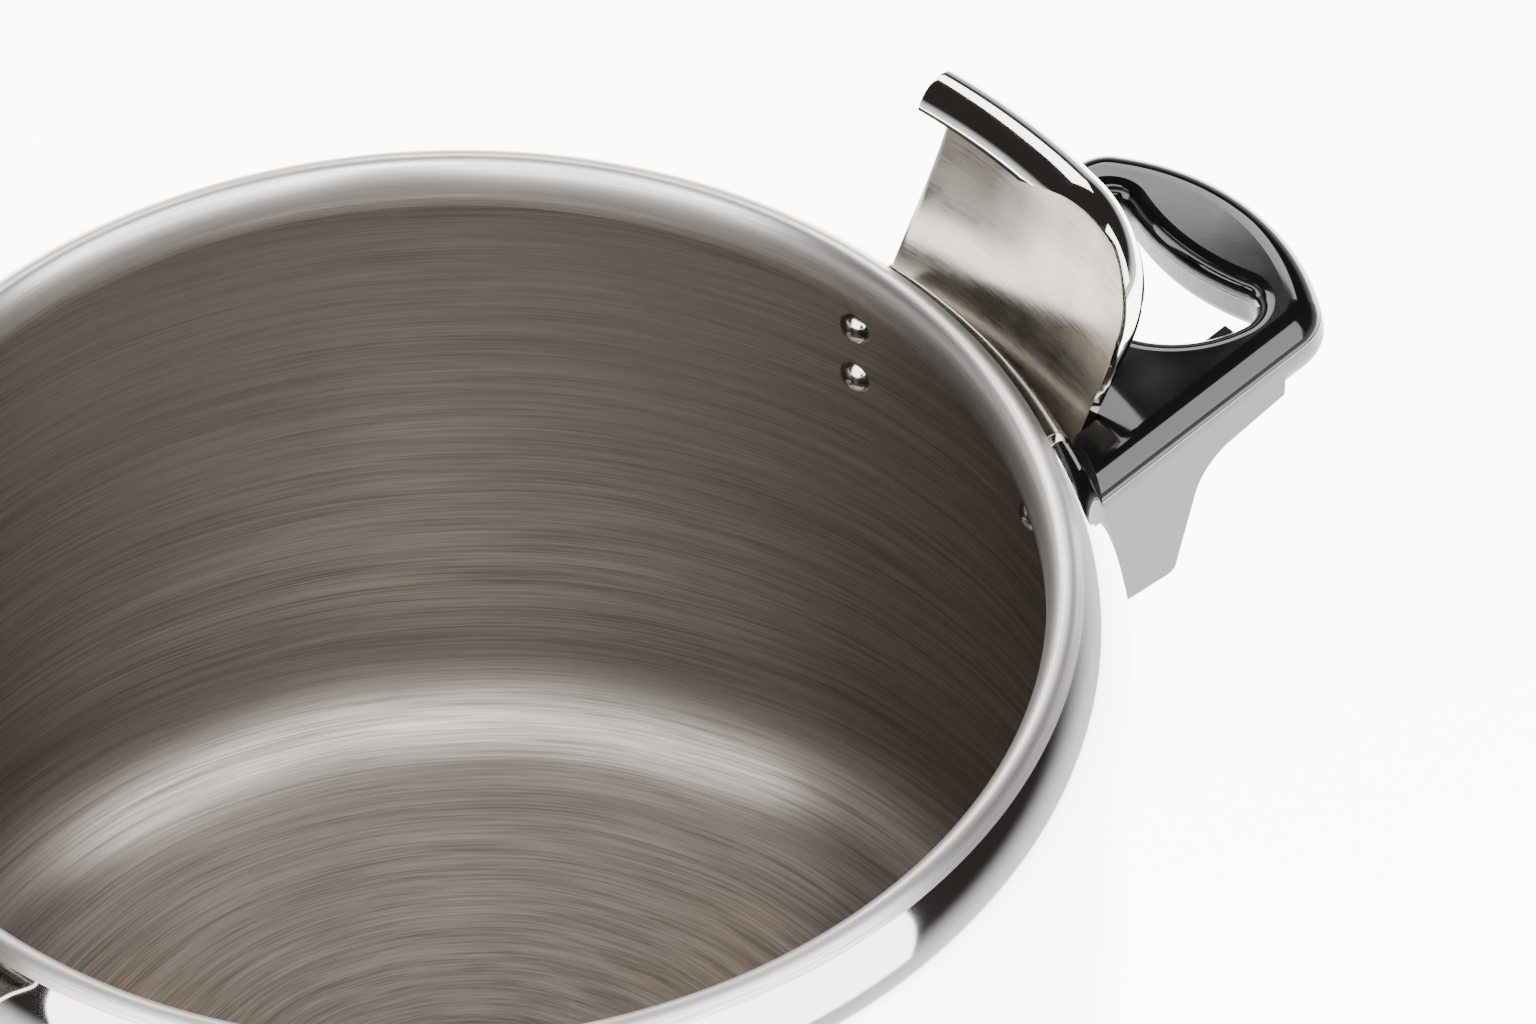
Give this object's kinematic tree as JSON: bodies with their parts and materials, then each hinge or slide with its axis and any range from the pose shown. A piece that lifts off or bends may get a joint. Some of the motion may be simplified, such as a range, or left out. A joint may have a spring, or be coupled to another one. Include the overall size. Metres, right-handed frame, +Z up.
{
  "type": "brew kettle",
  "caption": "Round stainless pot with a rolled-in rim, a bonded base, riveted hook brackets for a lid bar, and black loop handles screwed under them.",
  "frame": {"origin": "centre of the underside, on the pot's axis", "axes": "+Z up along the pot's axis, +X through the middle of bracket a's rivets, -X through bracket b's"},
  "size_m": [0.443, 0.3, 0.2365],
  "materials": {
    "shell_steel": "brushed inside and on the rim, mirror polished outside",
    "base_aluminium": "rolled, closed in by the cap",
    "cap_steel": "turned satin",
    "bracket_steel": "mirror polished outside, satin inside",
    "rivet_steel": "polished head",
    "handle_phenolic": "moulded, glossy on top, duller on the sides",
    "fixing_steel": "bright plated"
  },
  "bodies": {
    "root": {"pot_floor": "shell_steel", "pot_wall": "shell_steel", "pot_rim": "shell_steel", "base_disc": "base_aluminium", "base_cap": "cap_steel", "bracket_a": "bracket_steel", "bracket_rivets_a": "rivet_steel", "handle_a": "handle_phenolic", "handle_studs_a": "fixing_steel", "stud_washers_a": "fixing_steel", "dome_nuts_a": "fixing_steel", "bracket_b": "bracket_steel", "bracket_rivets_b": "rivet_steel", "handle_b": "handle_phenolic", "handle_studs_b": "fixing_steel", "stud_washers_b": "fixing_steel", "dome_nuts_b": "fixing_steel"}
  },
  "joints": []
}
